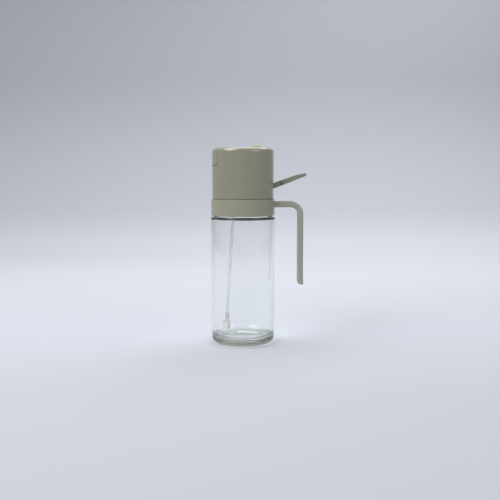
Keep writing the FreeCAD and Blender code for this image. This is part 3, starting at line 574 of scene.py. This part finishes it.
class LatheTree:
    """A geometry tree that turns an outline into a solid of revolution."""

    def __init__(self) -> None:
        """Builds the tree, with inputs for the steps round, the guide ring and the material."""
        self.tree = bpy.data.node_groups.new("turn_outline", "GeometryNodeTree")
        self._socket("Outline", "Geometry")
        self.segments = self._socket("Segments", "Int")
        self.guide = self._socket("Guide Radius", "Float")
        self.finish = self._socket("Finish", "Material")
        self._socket("Solid", "Geometry", "OUTPUT")
        given = self._add("NodeGroupInput")
        outline = self._add("GeometryNodeMeshToCurve", {"Mesh": given.outputs["Outline"]})
        ring = self._add("GeometryNodeCurvePrimitiveCircle", {
            "Resolution": given.outputs["Segments"], "Radius": given.outputs["Guide Radius"]})
        upright = self._add("GeometryNodeSetCurveNormal", {"Curve": ring.outputs["Curve"]},
                            mode="Z_UP")
        swept = self._add("GeometryNodeCurveToMesh", {
            "Curve": upright.outputs[0], "Profile Curve": outline.outputs[0]})
        merged = self._add("GeometryNodeMergeByDistance", {
            "Geometry": swept.outputs[0], "Distance": SWEEP_MERGE})
        smooth = self._add("GeometryNodeSetShadeSmooth", {"Geometry": merged.outputs[0]})
        real = self._add("GeometryNodeRealizeInstances", {"Geometry": smooth.outputs[0]})
        dressed = self._add("GeometryNodeSetMaterial", {
            "Geometry": real.outputs[0], "Material": given.outputs["Finish"]})
        self._add("NodeGroupOutput", {"Solid": dressed.outputs[0]})

    def _socket(self, name: str, kind: str,
                way: str = "INPUT") -> bpy.types.NodeTreeInterfaceSocket:
        """Adds an input or an output to the tree."""
        return self.tree.interface.new_socket(name, in_out=way, socket_type=f"NodeSocket{kind}")

    def _add(self, kind: str, inputs: Optional[dict[str, Any]] = None,
             **settings: Any) -> bpy.types.Node:
        """Adds a node.

        Args:
            kind: The node's type.
            inputs: Sockets or values for its inputs.
            **settings: Its properties.

        Returns:
            The node.
        """
        node = self.tree.nodes.new(kind)
        for name, value in settings.items():
            setattr(node, name, value)
        for name, value in (inputs or {}).items():
            if isinstance(value, bpy.types.NodeSocket):
                self.tree.links.new(value, node.inputs[name])
            else:
                node.inputs[name].default_value = value
        return node

    def turn(self, name: str, outline: list[Point], segments: int,
             finish: bpy.types.Material) -> bpy.types.Object:
        """Turns an outline about the Z axis.

        Args:
            name: The piece's name.
            outline: Its outline, as distance from the axis and height. It is closed, or starts
                and ends on the axis.
            segments: How many flat steps go round.
            finish: Its material.

        Returns:
            The piece, as a plain mesh.
        """
        guide = max(point[0] for point in outline) / 2
        flat = bpy.data.meshes.new(f"{name}_outline")
        count = len(outline)
        on_axis = outline[0][0] == outline[-1][0] == 0.0
        flat.from_pydata([(radius - guide, -height, 0.0) for radius, height in outline],
                         [(i, (i + 1) % count) for i in range(count - on_axis)], [])
        raw = bpy.data.objects.new(f"{name}_outline", flat)
        bpy.context.scene.collection.objects.link(raw)
        modifier = raw.modifiers.new("turn", "NODES")
        modifier.node_group = self.tree
        modifier[self.segments.identifier] = segments
        modifier[self.guide.identifier] = guide
        modifier[self.finish.identifier] = finish
        graph = bpy.context.evaluated_depsgraph_get()
        mesh = bpy.data.meshes.new_from_object(raw.evaluated_get(graph))
        bpy.data.objects.remove(raw)
        return outward(name, mesh)


def outward(name: str, mesh: bpy.types.Mesh) -> bpy.types.Object:
    """Merges a mesh's doubles, turns its faces outwards and makes it a piece.

    Args:
        name: The piece's name.
        mesh: A closed mesh.

    Returns:
        The piece, at the origin.
    """
    work = bmesh.new()
    work.from_mesh(mesh)
    bmesh.ops.remove_doubles(work, verts=work.verts, dist=DOUBLES)
    bmesh.ops.recalc_face_normals(work, faces=work.faces)
    work.to_mesh(mesh)
    work.free()
    mesh.name = name
    piece = bpy.data.objects.new(name, mesh)
    bpy.context.scene.collection.objects.link(piece)
    log.info("made %s with %d faces", name, len(mesh.polygons))
    return piece


# ---------------------------------------------------------------- sub-assemblies
@dataclass
class Bottle:
    """The glass bottle, turned from one outline, outside and inside."""

    wall: float = 0.0025
    neck_wall: float = 0.003
    shoulder_thick: float = 0.0017
    taper: float = 0.0009
    base: float = 0.007
    shoulder_height: float = 0.1418
    neck_radius: float = 0.0321
    stand_ring: float = 0.0086
    punt_depth: float = 0.0012
    punt_steps: int = 14
    heel_round: float = 0.0065
    shoulder_round: float = 0.0016
    inner_round: float = 0.0016
    base_corner: float = 0.007
    lip_round: float = 0.0009
    segments: int = 180

    def outline(self) -> list[Point]:
        """Works out the outline from the node's box.

        Returns:
            The points from the middle of the punt, up the outside and down the inside.
        """
        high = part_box("bottle")[1]
        shoulder, mouth = high.x, high.z
        foot = shoulder - self.taper
        ring = foot - self.stand_ring
        bore = self.neck_radius - self.neck_wall
        ceiling = self.shoulder_height - self.shoulder_thick
        sphere = (ring ** 2 + self.punt_depth ** 2) / (2 * self.punt_depth)
        punt = []
        for step in range(self.punt_steps):
            radius = ring * step / self.punt_steps
            rise = math.sqrt(sphere ** 2 - radius ** 2) - sphere + self.punt_depth
            punt.append((radius, rise))
        return punt + rounded([
            Corner(ring, 0.0),
            Corner(foot, 0.0, self.heel_round),
            Corner(shoulder, self.shoulder_height, self.shoulder_round),
            Corner(self.neck_radius, self.shoulder_height, self.lip_round),
            Corner(self.neck_radius, mouth, self.lip_round),
            Corner(bore, mouth, self.lip_round),
            Corner(bore, ceiling, self.inner_round),
            Corner(shoulder - self.wall, ceiling, self.inner_round),
            Corner(foot - self.wall, self.base, self.base_corner),
            Corner(0.0, self.base),
        ])

    def build(self, lathe: LatheTree) -> None:
        """Turns the bottle and puts it in the place of its node.

        Args:
            lathe: The tree that turns outlines.
        """
        piece = lathe.turn("bottle_glass", self.outline(), self.segments, GLASS.build())
        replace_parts(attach(piece, DISPENSER), "bottle")


@dataclass
class SlitShade:
    """A near-black strip of painted shade in the slit under the lid, bent along the head's front.
    """

    slit: float = 0.0007
    inset: float = 0.0002
    depth: float = 0.0016
    sunk: float = 0.0003
    clear: float = 0.0001
    spread: float = math.radians(28.0)
    steps: int = 24

    def build(self) -> None:
        """Bends the strip's section along an arc and closes both ends."""
        lid_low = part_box("lid")[0].z
        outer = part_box("head")[1].y - self.inset
        inner = outer - self.depth
        low, top = lid_low - self.slit - self.sunk, lid_low - self.clear
        section = [(outer, low), (outer, top), (inner, top), (inner, low)]
        sides = len(section)
        points = []
        for step in range(self.steps + 1):
            angle = math.pi + self.spread * (2 * step / self.steps - 1)
            points += [(radius * math.cos(angle), radius * math.sin(angle), height)
                       for radius, height in section]
        last = len(points) - sides
        faces = [tuple(range(sides)), tuple(reversed(range(last, len(points))))]
        for start in range(0, last, sides):
            for side in range(sides):
                here, other = start + side, start + (side + 1) % sides
                faces.append((here, here + sides, other + sides, other))
        mesh = bpy.data.meshes.new("slit_shade_strip")
        mesh.from_pydata(points, [], faces)
        mesh.materials.append(SLIT_SHADE.build())
        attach(outward("slit_shade_strip", mesh), DISPENSER)


@dataclass
class Fittings:
    """The nodes of the frame whose shape is already right, with the finish of each."""

    finishes: dict[str, Finish] = field(default_factory=lambda: {
        "collar": RING, "handle": GRIP, "closure": INNER, "dip_tube": TUBE,
        "filter_sleeve": STRAINER, "filter_cup": STRAINER, "head": SHELL, "nozzle": INSERT,
        "button": YELLOW, "spout": INNER, "lid": SHELL, "lever": LEVER, "lid_pin": STEEL,
        "lever_pin": STEEL})

    def build(self) -> None:
        """Dresses each node, with one material for each finish."""
        made: dict[str, bpy.types.Material] = {}
        for node, finish in self.finishes.items():
            if finish.name not in made:
                made[finish.name] = finish.build()
            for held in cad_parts[node].material_slots:
                held.material = made[finish.name]
            log.info("dressed %s with %s", node, finish.name)


# ---------------------------------------------------------------- studio
@dataclass(frozen=True)
class Lamp:
    """A soft rectangular lamp: its middle, its width and height, its watts and what it faces."""

    name: str
    place: Place
    size: Point
    power: float
    aim: Place = (0.0, 0.0, 0.15)

    def hang(self) -> None:
        """Adds the lamp to the scene."""
        data = bpy.data.lights.new(self.name, "AREA")
        data.shape = "RECTANGLE"
        data.size, data.size_y = self.size
        data.energy = self.power
        lamp = bpy.data.objects.new(self.name, data)
        lamp.location = self.place
        facing = Vector(self.aim) - Vector(self.place)
        lamp.rotation_euler = facing.to_track_quat("-Z", "Y").to_euler()
        bpy.context.scene.collection.objects.link(lamp)


LAMPS = (
    Lamp("key", (-1.6, -1.5, 1.7), (1.4, 1.4), 32.0),
    Lamp("fill", (1.3, -1.1, 0.8), (0.9, 0.9), 6.5),
    Lamp("top", (-0.18, 0.25, 1.3), (2.6, 0.8), 21.5),
    Lamp("wall", (0.3, 0.2, 1.4), (1.8, 0.6), 2.6, (0.3, 1.4, 0.3)),
)

# The paper's painted light and shade: a tone for each distance along the floor and then up, from
# the bottle's foot, brightest where the floor bends up and darker towards the front and the top.
PAPER_LIGHT_AND_SHADE = (
    (-0.6, (178, 182, 190)), (-0.2, (180, 184, 192)), (0.06, (188, 192, 201)),
    (0.28, (191, 195, 203)), (0.6, (200, 203, 211)), (0.9, (206, 209, 216)),
    (1.1, (200, 203, 211)), (1.3, (185, 188, 196)), (1.6, (180, 183, 191)),
    (1.9, (171, 174, 181)), (3.3, (165, 168, 175)))


@dataclass
class Studio:
    """A pale paper sweep, soft lamps and the camera."""

    front: float = -0.85
    bend_start: float = 0.9
    bend_radius: float = 0.5
    top: float = 2.0
    half_width: float = 0.95
    bend_steps: int = 24
    paper_roughness: float = 0.75
    paper_gloss: float = 0.1
    grain: float = 0.0008
    grain_depth: float = 0.00004
    grain_strength: float = 0.4
    grain_roughness: float = 0.1
    room_light: float = 0.325
    eye: Place = (0.0079, -0.784, 0.178)
    pitch: float = 5.39
    lens: float = 50.4
    sensor: float = 36.0
    nearest: float = 0.01

    def sweep(self) -> bpy.types.Object:
        """Builds the floor and the backdrop as one bent sheet.

        Returns:
            The sheet.
        """
        line = [(self.front, 0.0), (self.bend_start, 0.0)]
        for step in range(1, self.bend_steps + 1):
            angle = math.pi / 2 * step / self.bend_steps
            line.append((self.bend_start + self.bend_radius * math.sin(angle),
                         self.bend_radius * (1 - math.cos(angle))))
        line.append((self.bend_start + self.bend_radius, self.top))
        points = [(side * self.half_width, y, z) for y, z in line for side in (-1, 1)]
        faces = [(2 * i, 2 * i + 1, 2 * i + 3, 2 * i + 2) for i in range(len(line) - 1)]
        mesh = bpy.data.meshes.new("sweep")
        mesh.from_pydata(points, [], faces)
        mesh.polygons.foreach_set("use_smooth", [True] * len(faces))
        sheet = bpy.data.objects.new("sweep", mesh)
        bpy.context.scene.collection.objects.link(sheet)
        return sheet

    def paper(self) -> bpy.types.Material:
        """Makes the paper, whose tone changes along the sheet as painted light and shade.

        Returns:
            The material.
        """
        graph = Graph("sweep_paper")
        _, depth, height = graph.apart()
        end = self.bend_start + self.bend_radius + self.top
        span = graph.node("ShaderNodeMapRange", {"interpolation_type": "LINEAR"}, {
            "Value": depth + height, "From Min": self.front, "From Max": end}).out()
        # Painted light and shade: the paper's colour is brighter where the floor bends up and
        # darker towards the front and the top.
        painted_tones = graph.node("ShaderNodeValToRGB", {"stops": [
            ((place - self.front) / (end - self.front), srgb(*tone))
            for place, tone in PAPER_LIGHT_AND_SHADE]}, {"Fac": span}).out("Color")
        grain = graph.noise(self.grain, detail=3.0)
        shader = graph.node("ShaderNodeBsdfPrincipled", None, {
            "Base Color": painted_tones,
            "Roughness": grain * self.grain_roughness + self.paper_roughness,
            "Normal": graph.bump(grain, self.grain_depth, self.grain_strength),
            "Specular IOR Level": self.paper_gloss})
        return graph.surface(shader.out())

    def room(self) -> None:
        """Fills the room with an even white light."""
        world = bpy.data.worlds.new("room")
        world.use_nodes = True
        back = world.node_tree.nodes["Background"]
        back.inputs["Color"].default_value = (1.0, 1.0, 1.0, 1.0)
        back.inputs["Strength"].default_value = self.room_light
        bpy.context.scene.world = world

    def camera(self) -> None:
        """Stands the camera at the side, level with the head and looking slightly down."""
        data = bpy.data.cameras.new("side_view")
        data.lens = self.lens
        data.sensor_width = self.sensor
        data.clip_start = self.nearest
        camera = bpy.data.objects.new("side_view", data)
        camera.location = self.eye
        camera.rotation_euler = (math.radians(90 - self.pitch), 0.0, 0.0)
        bpy.context.scene.collection.objects.link(camera)
        bpy.context.scene.camera = camera

    def build(self) -> None:
        """Sets the whole studio up."""
        sheet = self.sweep()
        sheet.data.materials.append(self.paper())
        self.room()
        for lamp in LAMPS:
            lamp.hang()
        self.camera()
        bpy.context.scene.view_settings.view_transform = "Standard"
        log.info("studio: %d lamps", len(LAMPS))


def main() -> None:
    """Builds the sub-assemblies and the studio in order."""
    logging.basicConfig(level=logging.INFO, format="%(name)s: %(message)s")
    Bottle().build(LatheTree())
    SlitShade().build()
    Fittings().build()
    Studio().build()


if __name__ == "__main__":
    main()
